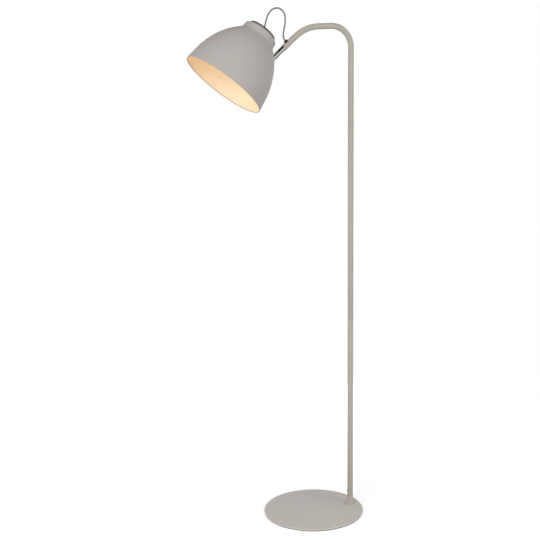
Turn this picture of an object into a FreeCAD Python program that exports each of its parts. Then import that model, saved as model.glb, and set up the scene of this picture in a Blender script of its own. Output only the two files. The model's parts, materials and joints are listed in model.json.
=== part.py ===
import FreeCAD, Part

import math
import os

from FreeCAD import Placement, Rotation, Vector

# Floor lamp with a rigid bent arm and one tilting bell shade.
# Millimetres, +Z up.  The origin is the centre of the base's underside, on the floor.
# The pole stands towards +X and the arm carries the head over towards -X.

# ---- fits ----
FIT_GAP = 0.05            # radial gap of a plug, thread or shaft in its hole
HOLE_GAP = 0.2            # radial gap of a screw in a clearance hole
RUN_GAP = 0.05            # face gap beside a turning piece
SWING_GAP = 0.5           # gap round the swinging ends of the knuckle
THREAD_RUNOUT = 1.0       # blind thread beyond the end of its screw
SAME = 1e-4               # lengths closer than this count as equal

# ---- base ----
BASE_DIAMETER = 300.0
BASE_THICKNESS = 4.5
BASE_TOP_ROUND = 0.8
BASE_UNDER_CHAMFER = 1.0
PAD_THICKNESS = 1.5
PAD_INSET = 1.0           # from the plate's edge to the pad's edge
POLE_INSET = 29.0         # pole axis from the plate's edge
RECESS_RADIUS = 13.0      # pocket under the plate for the pole screw
RECESS_DEPTH = 2.5

# ---- pole and arm, one tube size throughout ----
POLE_RADIUS = 8.5
POLE_WALL = 1.0
POLE_END_CHAMFER = 0.3
LOWER_POLE_LENGTH = 580.0
MIDDLE_POLE_LENGTH = 580.0
ARM_RISE = 220.4          # straight start of the bent tube
ARCH_RADIUS = 56.7
ARCH_SLOPE = 4.0          # degrees below level where the arch ends
ARCH_RUN = 37.2
DROOP_RADIUS = 117.4
DROOP_SLOPE = 43.0        # degrees below level at the arm's end
ARM_END_LENGTH = 47.8

# ---- pole fastening ----
POLE_SCREW_RADIUS = 4.0
POLE_SCREW_HEAD_RADIUS = 7.0
POLE_SCREW_HEAD = 2.4
POLE_SCREW_SOCKET = 2.9   # corner radius of its hexagon socket
POLE_SCREW_SOCKET_DEPTH = 1.5
POLE_WASHER_RADIUS = 10.0
POLE_WASHER_THICKNESS = 1.0
FOOT_PLUG_LENGTH = 20.0
POLE_SCREW_REACH = 16.0   # how far the screw goes into the plug
COLLAR_FOOT_RADIUS = 15.8
COLLAR_HEIGHT = 26.0
COLLAR_FLARE_HEIGHT = 14.0
COLLAR_EDGE = 1.5
COLLAR_WALL = 0.8         # at its thin top edge
COLLAR_GAP = 0.15

# ---- screwed joints between the tubes ----
COUPLER_LENGTH = 22.0     # of each plug inside its tube
COUPLER_STUD_RADIUS = 5.0
COUPLER_STUD_LENGTH = 15.0
COUPLER_BORE_RADIUS = 3.25

# ---- flexible lead and its rubber grommets ----
CORD_RADIUS = 2.25
INLET_HEIGHT = 42.0       # of the mains inlet, above the floor
GROMMET_RADIUS = 6.2
GROMMET_HEIGHT = 3.2      # above the tube's crest
GROMMET_ROUND = 1.2
GROMMET_NECK_RADIUS = 4.0
GROMMET_TAIL_RADIUS = 5.0
GROMMET_TAIL = 2.5        # below the tube's inner crest
ARM_GROMMET_REACH = 16.6  # from the arm's end, along the tube

# ---- chrome stem in the arm's end ----
STEM_INSERT = 30.0
STEM_FULL_INSERT = 9.0    # part of the insert that is still fully round
STEM_FLAT_DEPTH = 2.6     # the flat for the lead, below the stem's axis
PIVOT_REACH = 35.1        # from the arm's end to the tilt axis
STEM_SCREW_REACH = 5.0
STEM_SCREW_RADIUS = 1.5
STEM_SCREW_DEPTH = 5.0
STEM_SCREW_HEAD_RADIUS = 2.7
STEM_SCREW_HEAD = 1.4
STEM_SCREW_SLOT = 0.6     # width and depth of its driver slot

# ---- knuckle ----
TONGUE_THICKNESS = 4.0
TONGUE_RADIUS = 7.3
FRICTION_WASHER = 0.6
FRICTION_WASHER_RADIUS = 6.8
PIVOT_SCREW_RADIUS = 2.0
PIVOT_SCREW_END = 1.2     # metal left beyond the screw's tip
PIVOT_HEAD_RADIUS = 3.6
PIVOT_HEAD = 2.2
PIVOT_SOCKET = 1.5        # corner radius of its hexagon socket
PIVOT_SOCKET_DEPTH = 1.2
PIVOT_SEAT = 1.6          # cheek left under the spring washer
SPRING_WASHER = 0.5
LUG_FLANGE_RADIUS = 11.0
LUG_FLANGE = 1.2
LUG_STUD_RADIUS = 3.0
LUG_NUT = 5.0
LUG_NUT_RADIUS = 5.77     # over the corners
LUG_STUD_END = 1.9        # stud beyond its nut
SADDLE_WASHER_RADIUS = 8.0
SADDLE_WASHER = 1.6

# ---- shade, as a bent sheet from the rim up ----
HEAD_TILT = 37.3          # degrees of the shade's axis from upright
SHADE_WALL = 1.0
RIM_RADIUS = 122.0
RIM_BEAD_RADIUS = 1.2
SKIRT_SLOPE = 7.0         # slopes are degrees from the shade's axis
SKIRT_LENGTH = 29.4
CROWN_RADIUS = 232.2
CROWN_SLOPE = 30.0
SHOULDER_RADIUS = 158.7
SHOULDER_SLOPE = 41.7
SHOULDER_LENGTH = 26.0
NECK_BEND_RADIUS = 2.5
NECK_SLOPE = 6.5
NECK_LENGTH = 14.4
CORNER_RADIUS = 3.0
BEVEL_SLOPE = 56.3
BEVEL_LENGTH = 8.4
TOP_BEND_RADIUS = 2.0
PIVOT_FROM_NECK = 16.0    # foot of the pivot, down the shoulder
PIVOT_HEIGHT = 9.15       # of the tilt axis above the shoulder
LUG_FROM_NECK = 25.1      # lug's stud, down the shoulder

# ---- cap of the shade ----
CAP_DISC_RADIUS = 41.0
CAP_DISC_THICKNESS = 4.0
CAP_DISC_ROUND = 0.6
BUSH_SHANK_RADIUS = 7.0
BUSH_FLANGE_RADIUS = 9.0
BUSH_FLANGE = 2.5
BUSH_ROUND = 0.8
NIPPLE_RADIUS = 5.0
NIPPLE_BORE_RADIUS = 3.3
NIPPLE_LENGTH = 15.0
NIPPLE_IN_BUSH = 0.4      # nipple above the disc
TOOTH_WASHER_RADIUS = 9.0
TOOTH_WASHER = 1.0
NIPPLE_NUT_RADIUS = 8.08  # over the corners
NIPPLE_NUT = 3.5

# ---- lampholder ----
HOLDER_RADIUS = 20.0
HOLDER_WALL = 2.0
HOLDER_NECK_RADIUS = 8.0
HOLDER_NECK = 2.0
HOLDER_CAP_LENGTH = 16.0
HOLDER_CAP_STRAIGHT = 7.0
HOLDER_BODY_LENGTH = 38.0
HOLDER_LIP = 2.0
INSERT_DROP = 4.5         # top of the insert below the holder's seam
INSERT_LENGTH = 11.0
SHELL_OUTER_RADIUS = 14.2
SHELL_WALL = 0.8
CONTACT_LENGTH = 10.0
CONTACT_WIDTH = 4.0
CONTACT_THICKNESS = 0.5
CORE_RADIUS = 1.0
CORE_SPACING = 2.3
SHEATH_LENGTH = 18.5      # of the lead inside the cap

# ---- bulb ----
BULB_CONTACT_RADIUS = 4.5
BULB_CONTACT = 1.0
BULB_INSULATOR_RADIUS = 9.0
BULB_INSULATOR = 2.0
BULB_THREAD_RADIUS = 13.1
BULB_THREAD = 19.5
BULB_COLLAR_RADIUS = 14.0
BULB_COLLAR = 4.0
GLOBE_RADIUS = 30.0
GLOBE_NECK = 7.0
GLOBE_TO_NECK = 44.5      # globe centre to the top of the flare
GLOBE_WALL = 1.0

# ---- free stretch of the lead, from the shade's cap to the arm's grommet ----
# Route points from the arm's end, as X and Z; both ends of the route are worked out.
LOOP_EXIT = 5.5           # first run, along the shade's axis
LOOP_ENTRY = 6.0          # last run, into the grommet
LOOP_POINTS = (
    (-55.0, 57.0),
    (-53.6, 64.5),
    (-51.0, 74.5),
    (-44.9, 91.0),
    (-33.4, 104.0),
    (-17.9, 109.0),
    (-3.4, 103.0),
    (4.6, 90.0),
    (4.4, 64.5),
    (0.2, 48.5),
    (-1.6, 36.5),
    (-1.4, 30.0),
)
BEND_SHARE = 0.45         # of the shorter run, used up by a bend


# ---------------------------------------------------------------- basic shapes

def cylinder(radius, low, high, at=(0.0, 0.0)):
    return Part.makeCylinder(radius, high - low, Vector(at[0], at[1], low))


def ring(outer, inner, low, high, at=(0.0, 0.0)):
    return cylinder(outer, low, high, at).cut(cylinder(inner, low, high, at))


def cross_cylinder(radius, low, high, x=0.0, z=0.0):
    """Round bar along Y."""
    return Part.makeCylinder(radius, high - low, Vector(x, low, z), Vector(0, 1, 0))


def hexagon(corner_radius, low, high):
    corners = [Vector(corner_radius * math.cos(math.radians(60 * k)),
                      corner_radius * math.sin(math.radians(60 * k)), low) for k in range(7)]
    return Part.Face(Part.makePolygon(corners)).extrude(Vector(0, 0, high - low))


def box(x_range, y_range, z_range):
    size = [high - low for low, high in (x_range, y_range, z_range)]
    return Part.makeBox(*size, Vector(x_range[0], y_range[0], z_range[0]))


def spun(edges):
    """Solid turned about Z from a closed outline in the X-Z plane."""
    face = Part.Face(Part.Wire(Part.__sortEdges__(edges)))
    return face.revolve(Vector(0, 0, 0), Vector(0, 0, 1), 360)


def spun_polygon(points):
    corners = [Vector(r, 0, z) for r, z in points]
    return spun([Part.makeLine(a, b) for a, b in zip(corners, corners[1:] + corners[:1])])


def placed(shape, frame):
    moved = shape.copy()
    moved.Placement = frame.multiply(moved.Placement)
    return moved


def circle_edges(solid, radius, z):
    """Round edges of one radius at one height of an upright turned solid."""
    return [edge for edge in solid.Edges
            if isinstance(edge.Curve, Part.Circle)
            and abs(edge.Curve.Radius - radius) < SAME
            and abs(edge.Curve.Center.z - z) < SAME]


# ---------------------------------------------------------------- bent sheet outlines

def sheet_travel(slope):
    angle = math.radians(slope)
    return Vector(-math.sin(angle), 0, math.cos(angle))


def sheet_inward(slope):
    angle = math.radians(slope)
    return Vector(-math.cos(angle), 0, -math.sin(angle))


def sheet_outline(start, slope, steps, inset=0.0):
    """Edges and corner points of a sheet that runs from the rim up to its top.

    Each step is a straight length, then a bend radius and the slope after it.
    The inset moves the outline towards the axis, which keeps the wall even.
    """
    point = start + sheet_inward(slope) * inset
    points = [point]
    edges = []
    for length, radius, next_slope in steps:
        if length > 0:
            end = point + sheet_travel(slope) * length
            edges.append(Part.makeLine(point, end))
            point = end
            points.append(point)
        side = 1 if next_slope > slope else -1
        arm = radius - side * inset
        centre = point + sheet_inward(slope) * (side * arm)
        middle = centre - sheet_inward((slope + next_slope) / 2) * (side * arm)
        end = centre - sheet_inward(next_slope) * (side * arm)
        edges.append(Part.Arc(point, middle, end).toShape())
        point = end
        points.append(point)
        slope = next_slope
    return edges, points


SHADE_STEPS = (
    (SKIRT_LENGTH, CROWN_RADIUS, CROWN_SLOPE),
    (0.0, SHOULDER_RADIUS, SHOULDER_SLOPE),
    (SHOULDER_LENGTH, NECK_BEND_RADIUS, NECK_SLOPE),
    (NECK_LENGTH, CORNER_RADIUS, BEVEL_SLOPE),
    (BEVEL_LENGTH, TOP_BEND_RADIUS, 90.0),
)
RIM_START = Vector(RIM_RADIUS, 0, RIM_BEAD_RADIUS)
SHADE_POINTS = sheet_outline(RIM_START, SKIRT_SLOPE, SHADE_STEPS)[1]
SHOULDER_END = SHADE_POINTS[4]
SHADE_TOP = SHADE_POINTS[-1].z

# ---------------------------------------------------------------- heights and frames

BASE_TOP = PAD_THICKNESS + BASE_THICKNESS
RECESS_CEILING = PAD_THICKNESS + RECESS_DEPTH
LOWER_JOINT = BASE_TOP + LOWER_POLE_LENGTH
UPPER_JOINT = LOWER_JOINT + MIDDLE_POLE_LENGTH
ARM_BEND_START = UPPER_JOINT + ARM_RISE
BORE_RADIUS = POLE_RADIUS - POLE_WALL
PLUG_RADIUS = BORE_RADIUS - FIT_GAP
CHEEK_INNER = TONGUE_THICKNESS / 2 + RUN_GAP + FRICTION_WASHER
POLE_OFFSET = BASE_DIAMETER / 2 - POLE_INSET
POLE_AT = (POLE_OFFSET, 0.0)


def arm_centreline(end_length):
    """Edges of the arm's centreline from the bend's start, and its last point."""
    rise, level, down = 0.0, 90.0 + ARCH_SLOPE, 90.0 + DROOP_SLOPE
    start = Vector(POLE_OFFSET, 0, ARM_BEND_START)
    arch, point = bend_in_plane(start, ARCH_RADIUS, rise, level)
    run_end = point + arm_travel(level) * ARCH_RUN
    run = Part.makeLine(point, run_end)
    droop, point = bend_in_plane(run_end, DROOP_RADIUS, level, down)
    end = point + arm_travel(down) * end_length
    return [arch, run, droop, Part.makeLine(point, end)], end


def arm_travel(turn):
    """Direction of the arm after it has turned so many degrees from upright."""
    angle = math.radians(turn)
    return Vector(-math.sin(angle), 0, math.cos(angle))


def arm_inward(turn):
    angle = math.radians(turn)
    return Vector(-math.cos(angle), 0, -math.sin(angle))


def bend_in_plane(start, radius, turn_before, turn_after):
    centre = start + arm_inward(turn_before) * radius
    middle = centre - arm_inward((turn_before + turn_after) / 2) * radius
    end = centre - arm_inward(turn_after) * radius
    return Part.Arc(start, middle, end).toShape(), end


ARM_EDGES, ARM_END = arm_centreline(ARM_END_LENGTH)
# Stem frame: origin at the arm's end, +Z out of the tube, +X on the arm's upper side.
STEM_FRAME = Placement(ARM_END, Rotation(Vector(0, 1, 0), -90.0 - DROOP_SLOPE))
PIVOT = STEM_FRAME.multVec(Vector(0, 0, PIVOT_REACH))

# Pivot and lug in the head's own frame: origin at the rim's centre, +Z up its axis.
SHOULDER_NORMAL = sheet_inward(SHOULDER_SLOPE) * -1
PIVOT_IN_HEAD = (SHOULDER_END - sheet_travel(SHOULDER_SLOPE) * PIVOT_FROM_NECK
                 + SHOULDER_NORMAL * PIVOT_HEIGHT)
LUG_SEAT = SHOULDER_END - sheet_travel(SHOULDER_SLOPE) * LUG_FROM_NECK
HEAD_TURN = Rotation(Vector(0, 1, 0), HEAD_TILT)
HEAD_FRAME = Placement(PIVOT - HEAD_TURN.multVec(PIVOT_IN_HEAD), HEAD_TURN)
LUG_FRAME = Placement(LUG_SEAT, Rotation(Vector(0, 1, 0), 90.0 - SHOULDER_SLOPE))


# ---------------------------------------------------------------- base and pole

def base_plate():
    radius = BASE_DIAMETER / 2
    plate = cylinder(radius, PAD_THICKNESS, BASE_TOP)
    plate = plate.makeFillet(BASE_TOP_ROUND, circle_edges(plate, radius, BASE_TOP))
    plate = plate.makeChamfer(BASE_UNDER_CHAMFER, circle_edges(plate, radius, PAD_THICKNESS))
    pocket = cylinder(RECESS_RADIUS, PAD_THICKNESS, RECESS_CEILING, POLE_AT)
    hole = cylinder(POLE_SCREW_RADIUS + HOLE_GAP, PAD_THICKNESS, BASE_TOP, POLE_AT)
    return plate.cut(pocket).cut(hole)


def base_pad():
    pad = cylinder(BASE_DIAMETER / 2 - PAD_INSET, 0, PAD_THICKNESS)
    return pad.cut(cylinder(RECESS_RADIUS, 0, PAD_THICKNESS, POLE_AT))


def pole_screw_washer():
    seat = RECESS_CEILING - POLE_WASHER_THICKNESS
    return ring(POLE_WASHER_RADIUS, POLE_SCREW_RADIUS + HOLE_GAP, seat, RECESS_CEILING, POLE_AT)


def pole_screw():
    seat = RECESS_CEILING - POLE_WASHER_THICKNESS
    under = seat - POLE_SCREW_HEAD
    head = cylinder(POLE_SCREW_HEAD_RADIUS, under, seat)
    shank = cylinder(POLE_SCREW_RADIUS, seat, BASE_TOP + POLE_SCREW_REACH)
    socket = hexagon(POLE_SCREW_SOCKET, under, under + POLE_SCREW_SOCKET_DEPTH)
    screw = head.fuse(shank).removeSplitter().cut(socket)
    return placed(screw, Placement(Vector(POLE_OFFSET, 0, 0), Rotation()))


def pole_foot_plug():
    plug = cylinder(PLUG_RADIUS, BASE_TOP, BASE_TOP + FOOT_PLUG_LENGTH, POLE_AT)
    thread_end = BASE_TOP + POLE_SCREW_REACH + THREAD_RUNOUT
    return plug.cut(cylinder(POLE_SCREW_RADIUS + FIT_GAP, BASE_TOP, thread_end, POLE_AT))


def pole_collar():
    bore = POLE_RADIUS + COLLAR_GAP
    lip = bore + COLLAR_WALL
    foot = Vector(COLLAR_FOOT_RADIUS, 0, COLLAR_EDGE)
    waist = Vector(lip, 0, COLLAR_FLARE_HEIGHT)
    rise = COLLAR_FLARE_HEIGHT - COLLAR_EDGE
    spread = COLLAR_FOOT_RADIUS - lip
    radius = (spread * spread + rise * rise) / (2 * spread)
    half = math.asin(rise / radius) / 2
    middle = Vector(lip + radius - radius * math.cos(half), 0,
                    COLLAR_FLARE_HEIGHT - radius * math.sin(half))
    straight = [(bore, COLLAR_HEIGHT), (bore, 0.0), (COLLAR_FOOT_RADIUS, 0.0)]
    corners = [waist, Vector(lip, 0, COLLAR_HEIGHT)] + [Vector(r, 0, z) for r, z in straight] + [foot]
    edges = [Part.makeLine(a, b) for a, b in zip(corners, corners[1:])]
    edges.append(Part.Arc(waist, middle, foot).toShape())
    return placed(spun(edges), Placement(Vector(POLE_OFFSET, 0, BASE_TOP), Rotation()))


def straight_pole(low, high):
    outer = cylinder(POLE_RADIUS, low, high)
    edges = circle_edges(outer, POLE_RADIUS, low) + circle_edges(outer, POLE_RADIUS, high)
    tube = outer.makeChamfer(POLE_END_CHAMFER, edges).cut(cylinder(BORE_RADIUS, low, high))
    return placed(tube, Placement(Vector(POLE_OFFSET, 0, 0), Rotation()))


def lower_pole():
    hole = cross_cylinder(GROMMET_NECK_RADIUS, 0, 2 * POLE_RADIUS, POLE_OFFSET, INLET_HEIGHT)
    return straight_pole(BASE_TOP, LOWER_JOINT).cut(hole)


def middle_pole():
    return straight_pole(LOWER_JOINT, UPPER_JOINT)


def coupler_stud(joint):
    """Plug in the lower tube's top, with the hollow stud that screws into the next one."""
    plug = cylinder(PLUG_RADIUS, joint - COUPLER_LENGTH, joint, POLE_AT)
    stud = cylinder(COUPLER_STUD_RADIUS, joint, joint + COUPLER_STUD_LENGTH, POLE_AT)
    bore = cylinder(COUPLER_BORE_RADIUS, joint - COUPLER_LENGTH, joint + COUPLER_LENGTH, POLE_AT)
    return plug.fuse(stud).removeSplitter().cut(bore)


def coupler_socket(joint):
    """Plug in the upper tube's foot, with the thread that takes the stud."""
    plug = cylinder(PLUG_RADIUS, joint, joint + COUPLER_LENGTH, POLE_AT)
    thread_end = joint + COUPLER_STUD_LENGTH + THREAD_RUNOUT
    thread = cylinder(COUPLER_STUD_RADIUS + FIT_GAP, joint, thread_end, POLE_AT)
    bore = cylinder(COUPLER_BORE_RADIUS, joint, joint + COUPLER_LENGTH, POLE_AT)
    return plug.cut(thread).cut(bore)


# ---------------------------------------------------------------- arm and lead

def swept_round(edges, radius):
    wire = Part.Wire(edges)
    start = edges[0].valueAt(edges[0].FirstParameter)
    travel = edges[0].tangentAt(edges[0].FirstParameter)
    section = Part.Wire(Part.makeCircle(radius, start, travel))
    return wire.makePipeShell([section], True, False)


def gooseneck_tube():
    foot = Vector(POLE_OFFSET, 0, UPPER_JOINT)
    rise = Part.makeLine(foot, Vector(POLE_OFFSET, 0, ARM_BEND_START))
    path = [rise] + ARM_EDGES
    tube = swept_round(path, POLE_RADIUS).cut(swept_round(path, BORE_RADIUS))
    tube = tube.makeChamfer(POLE_END_CHAMFER, circle_edges(tube, POLE_RADIUS, UPPER_JOINT))
    cord_hole = cylinder(GROMMET_NECK_RADIUS, 0, 2 * POLE_RADIUS)
    screw_hole = placed(cylinder(STEM_SCREW_RADIUS + HOLE_GAP, 0, 2 * POLE_RADIUS), STEM_SCREW_FRAME)
    return tube.cut(placed(cord_hole, ARM_GROMMET_AXIS)).cut(screw_hole)


def grommet():
    """Rubber grommet on a tube that lies along X with its crest at the origin."""
    crest_axis = Vector(-2 * GROMMET_RADIUS, 0, -POLE_RADIUS)
    outside = Part.makeCylinder(POLE_RADIUS, 4 * GROMMET_RADIUS, crest_axis, Vector(1, 0, 0))
    inside = Part.makeCylinder(BORE_RADIUS, 4 * GROMMET_RADIUS, crest_axis, Vector(1, 0, 0))
    flange = cylinder(GROMMET_RADIUS, -POLE_RADIUS, GROMMET_HEIGHT)
    flange = flange.makeFillet(GROMMET_ROUND, circle_edges(flange, GROMMET_RADIUS, GROMMET_HEIGHT))
    flange = flange.cut(outside)
    tail_end = -POLE_WALL - GROMMET_TAIL
    neck = cylinder(GROMMET_NECK_RADIUS, tail_end, 0)
    tail = cylinder(GROMMET_TAIL_RADIUS, tail_end, 0).common(inside)
    bore = cylinder(CORD_RADIUS + FIT_GAP, tail_end, GROMMET_HEIGHT)
    return flange.fuse([neck, tail]).removeSplitter().cut(bore)


# Grommet frames: origin on the tube's crest, +Z out of the tube, +X along it.
ARM_GROMMET_AXIS = STEM_FRAME.multiply(
    Placement(Vector(0, 0, -ARM_GROMMET_REACH), Rotation(Vector(0, 1, 0), 90)))
ARM_GROMMET_FRAME = ARM_GROMMET_AXIS.multiply(Placement(Vector(0, 0, POLE_RADIUS), Rotation()))
INLET_FRAME = Placement(Vector(POLE_OFFSET, POLE_RADIUS, INLET_HEIGHT),
                        Rotation(Vector(0, 0, 1), Vector(1, 0, 0), Vector(0, 1, 0), "XZY"))
STEM_SCREW_FRAME = STEM_FRAME.multiply(
    Placement(Vector(0, 0, -STEM_SCREW_REACH), Rotation(Vector(1, 0, 0), -90)))


def arm_grommet():
    return placed(grommet(), ARM_GROMMET_FRAME)


def mains_inlet_grommet():
    return placed(grommet(), INLET_FRAME)


def inner_lead():
    """Lead inside the pole, from the mains inlet to the arm's grommet."""
    turn = BORE_RADIUS - GROMMET_TAIL
    half = math.radians(45)
    inlet = Vector(POLE_OFFSET, turn, INLET_HEIGHT)
    upright = Vector(POLE_OFFSET, 0, INLET_HEIGHT + turn)
    middle = Vector(POLE_OFFSET, turn - turn * math.sin(half),
                    INLET_HEIGHT + turn - turn * math.cos(half))
    bend_start = Vector(POLE_OFFSET, 0, ARM_BEND_START)
    arm_edges, exit_start = arm_centreline(ARM_END_LENGTH - ARM_GROMMET_REACH - turn)
    exit_middle = STEM_FRAME.multVec(Vector(
        turn - turn * math.cos(half), 0, -ARM_GROMMET_REACH - turn + turn * math.sin(half)))
    exit_end = STEM_FRAME.multVec(Vector(turn, 0, -ARM_GROMMET_REACH))
    edges = [Part.Arc(inlet, middle, upright).toShape(), Part.makeLine(upright, bend_start)]
    edges += arm_edges
    edges += [Part.Arc(exit_start, exit_middle, exit_end).toShape(), Part.makeLine(exit_end, LOOP_END)]
    return swept_round(edges, CORD_RADIUS)


# ---------------------------------------------------------------- free loop of the lead

BUSH_TOP = SHADE_TOP + CAP_DISC_THICKNESS + BUSH_FLANGE
LOOP_START = HEAD_FRAME.multVec(Vector(0, 0, BUSH_TOP))
LOOP_END = ARM_GROMMET_FRAME.multVec(Vector(0, 0, GROMMET_HEIGHT))


def loop_route():
    """Route points of the free loop, end to end."""
    leave = HEAD_FRAME.multVec(Vector(0, 0, BUSH_TOP + LOOP_EXIT))
    enter = ARM_GROMMET_FRAME.multVec(Vector(0, 0, GROMMET_HEIGHT + LOOP_ENTRY))
    between = [ARM_END + Vector(x, 0, z) for x, z in LOOP_POINTS]
    return [LOOP_START, leave] + between + [enter, LOOP_END]


def rounded_route(route):
    """Straight runs joined by tangent arcs; returns the edges and the arc radii."""
    edges = []
    radii = []
    last = route[0]
    for before, corner, after in zip(route, route[1:], route[2:]):
        back = (before - corner).normalize()
        ahead = (after - corner).normalize()
        half_turn = (math.pi - back.getAngle(ahead)) / 2
        shorter = min((before - corner).Length, (after - corner).Length)
        radius = BEND_SHARE * shorter / math.tan(half_turn)
        reach = BEND_SHARE * shorter
        start = corner + back * reach
        end = corner + ahead * reach
        inward = (back + ahead).normalize()
        centre = corner + inward * (radius / math.cos(half_turn))
        middle = centre - inward * radius
        edges.append(Part.makeLine(last, start))
        edges.append(Part.Arc(start, middle, end).toShape())
        radii.append(radius)
        last = end
    edges.append(Part.makeLine(last, route[-1]))
    return edges, radii


def cord_loop():
    edges, radii = rounded_route(loop_route())
    length = sum(edge.Length for edge in edges)
    loop = swept_round(edges, CORD_RADIUS)
    expected = math.pi * CORD_RADIUS ** 2 * length
    print("cord loop: length %.1f, volume over section x length %.5f" % (length, loop.Volume / expected))
    print("cord loop radii:", ", ".join("%.1f" % radius for radius in radii))
    return loop


# ---------------------------------------------------------------- stem and knuckle

def head_stem():
    """Chrome bar in the arm's end, with a fork round the tilt axis."""
    radius = PLUG_RADIUS
    reach = PIVOT_REACH + radius
    bar = cylinder(radius, -STEM_INSERT, reach)
    body = box((-radius, radius), (-radius, radius), (-STEM_INSERT, PIVOT_REACH))
    rounded_end = cross_cylinder(radius, -radius, radius, 0, PIVOT_REACH)
    bar = bar.common(body.fuse(rounded_end))
    lead_way = box((-STEM_FLAT_DEPTH, radius), (-radius, radius), (-STEM_INSERT, -STEM_FULL_INSERT))
    slot_floor = PIVOT_REACH - TONGUE_RADIUS - SWING_GAP
    slot = box((-radius, radius), (-CHEEK_INNER, CHEEK_INNER), (slot_floor, reach))
    seat = CHEEK_INNER + PIVOT_SEAT
    clearance = cross_cylinder(PIVOT_SCREW_RADIUS + HOLE_GAP, 0, radius, 0, PIVOT_REACH)
    counterbore = cross_cylinder(PIVOT_HEAD_RADIUS + SWING_GAP, seat, radius, 0, PIVOT_REACH)
    thread = cross_cylinder(PIVOT_SCREW_RADIUS + FIT_GAP, PIVOT_SCREW_END - radius, 0, 0, PIVOT_REACH)
    thread_end = BORE_RADIUS - STEM_SCREW_DEPTH - THREAD_RUNOUT
    fixing = cylinder(STEM_SCREW_RADIUS + FIT_GAP, thread_end, POLE_RADIUS)
    stem = bar.cut(lead_way).cut(slot).cut(clearance).cut(counterbore).cut(thread)
    return placed(stem, STEM_FRAME).cut(placed(fixing, STEM_SCREW_FRAME))


def stem_screw():
    """Small screw through the tube's back into the stem."""
    shank = cylinder(STEM_SCREW_RADIUS, BORE_RADIUS - STEM_SCREW_DEPTH, POLE_RADIUS)
    head = cylinder(STEM_SCREW_HEAD_RADIUS, 0, POLE_RADIUS + STEM_SCREW_HEAD)
    top = POLE_RADIUS + STEM_SCREW_HEAD
    head = head.makeFillet(STEM_SCREW_HEAD / 2, circle_edges(head, STEM_SCREW_HEAD_RADIUS, top))
    tube = cross_cylinder(POLE_RADIUS, -POLE_RADIUS, POLE_RADIUS)
    slot = box((-STEM_SCREW_HEAD_RADIUS, STEM_SCREW_HEAD_RADIUS),
               (-STEM_SCREW_SLOT / 2, STEM_SCREW_SLOT / 2), (top - STEM_SCREW_SLOT, top))
    screw = head.cut(slot).cut(tube).fuse(shank).removeSplitter()
    return placed(screw, STEM_SCREW_FRAME)


def friction_washers():
    inner_face = TONGUE_THICKNESS / 2 + RUN_GAP
    washers = []
    for low, high in ((-CHEEK_INNER, -inner_face), (inner_face, CHEEK_INNER)):
        disc = cross_cylinder(FRICTION_WASHER_RADIUS, low, high, 0, PIVOT_REACH)
        hole = cross_cylinder(PIVOT_SCREW_RADIUS + HOLE_GAP, low, high, 0, PIVOT_REACH)
        washers.append(placed(disc.cut(hole), STEM_FRAME))
    return Part.makeCompound(washers)


def pivot_spring_washer():
    low = CHEEK_INNER + PIVOT_SEAT
    high = low + SPRING_WASHER
    disc = cross_cylinder(PIVOT_HEAD_RADIUS, low, high, 0, PIVOT_REACH)
    hole = cross_cylinder(PIVOT_SCREW_RADIUS + HOLE_GAP, low, high, 0, PIVOT_REACH)
    return placed(disc.cut(hole), STEM_FRAME)


def pivot_screw():
    seat = CHEEK_INNER + PIVOT_SEAT + SPRING_WASHER
    tip = PIVOT_SCREW_END - PLUG_RADIUS + HOLE_GAP
    head = cylinder(PIVOT_HEAD_RADIUS, seat, seat + PIVOT_HEAD)
    shank = cylinder(PIVOT_SCREW_RADIUS, tip, seat)
    socket = hexagon(PIVOT_SOCKET, seat + PIVOT_HEAD - PIVOT_SOCKET_DEPTH, seat + PIVOT_HEAD)
    screw = head.fuse(shank).removeSplitter().cut(socket)
    across = Placement(Vector(0, 0, PIVOT_REACH), Rotation(Vector(1, 0, 0), -90))
    return placed(placed(screw, across), STEM_FRAME)


def shade_lug():
    """Tongue on the shade's shoulder, with its flange and the stud through the wall."""
    x = PIVOT_IN_HEAD.x
    z = PIVOT_IN_HEAD.z
    half = TONGUE_THICKNESS / 2
    eye = cross_cylinder(TONGUE_RADIUS, -half, half, x, z)
    stand = box((x - TONGUE_RADIUS, x + TONGUE_RADIUS), (-half, half), (z - 4 * TONGUE_RADIUS, z))
    flange = placed(cylinder(LUG_FLANGE_RADIUS, -2 * LUG_FLANGE, LUG_FLANGE), LUG_FRAME)
    body = eye.fuse([stand, flange]).removeSplitter()
    body = body.cut(shade_envelope(0.0))
    stud_end = -SHADE_WALL - SADDLE_WASHER - LUG_NUT - LUG_STUD_END
    stud = placed(cylinder(LUG_STUD_RADIUS, stud_end, LUG_FLANGE), LUG_FRAME)
    pivot_hole = cross_cylinder(PIVOT_SCREW_RADIUS + FIT_GAP, -half, half, x, z)
    return placed(body.fuse(stud).removeSplitter().cut(pivot_hole), HEAD_FRAME)


def lug_saddle_washer():
    low = -SHADE_WALL - SADDLE_WASHER
    washer = ring(SADDLE_WASHER_RADIUS, LUG_STUD_RADIUS + HOLE_GAP, low, 0)
    fitted = placed(washer, LUG_FRAME).common(shade_envelope(SHADE_WALL))
    return placed(fitted, HEAD_FRAME)


def lug_nut():
    high = -SHADE_WALL - SADDLE_WASHER
    nut = hexagon(LUG_NUT_RADIUS, high - LUG_NUT, high)
    nut = nut.cut(cylinder(LUG_STUD_RADIUS + FIT_GAP, high - LUG_NUT, high))
    return placed(placed(nut, LUG_FRAME), HEAD_FRAME)


# ---------------------------------------------------------------- shade and cap

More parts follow.
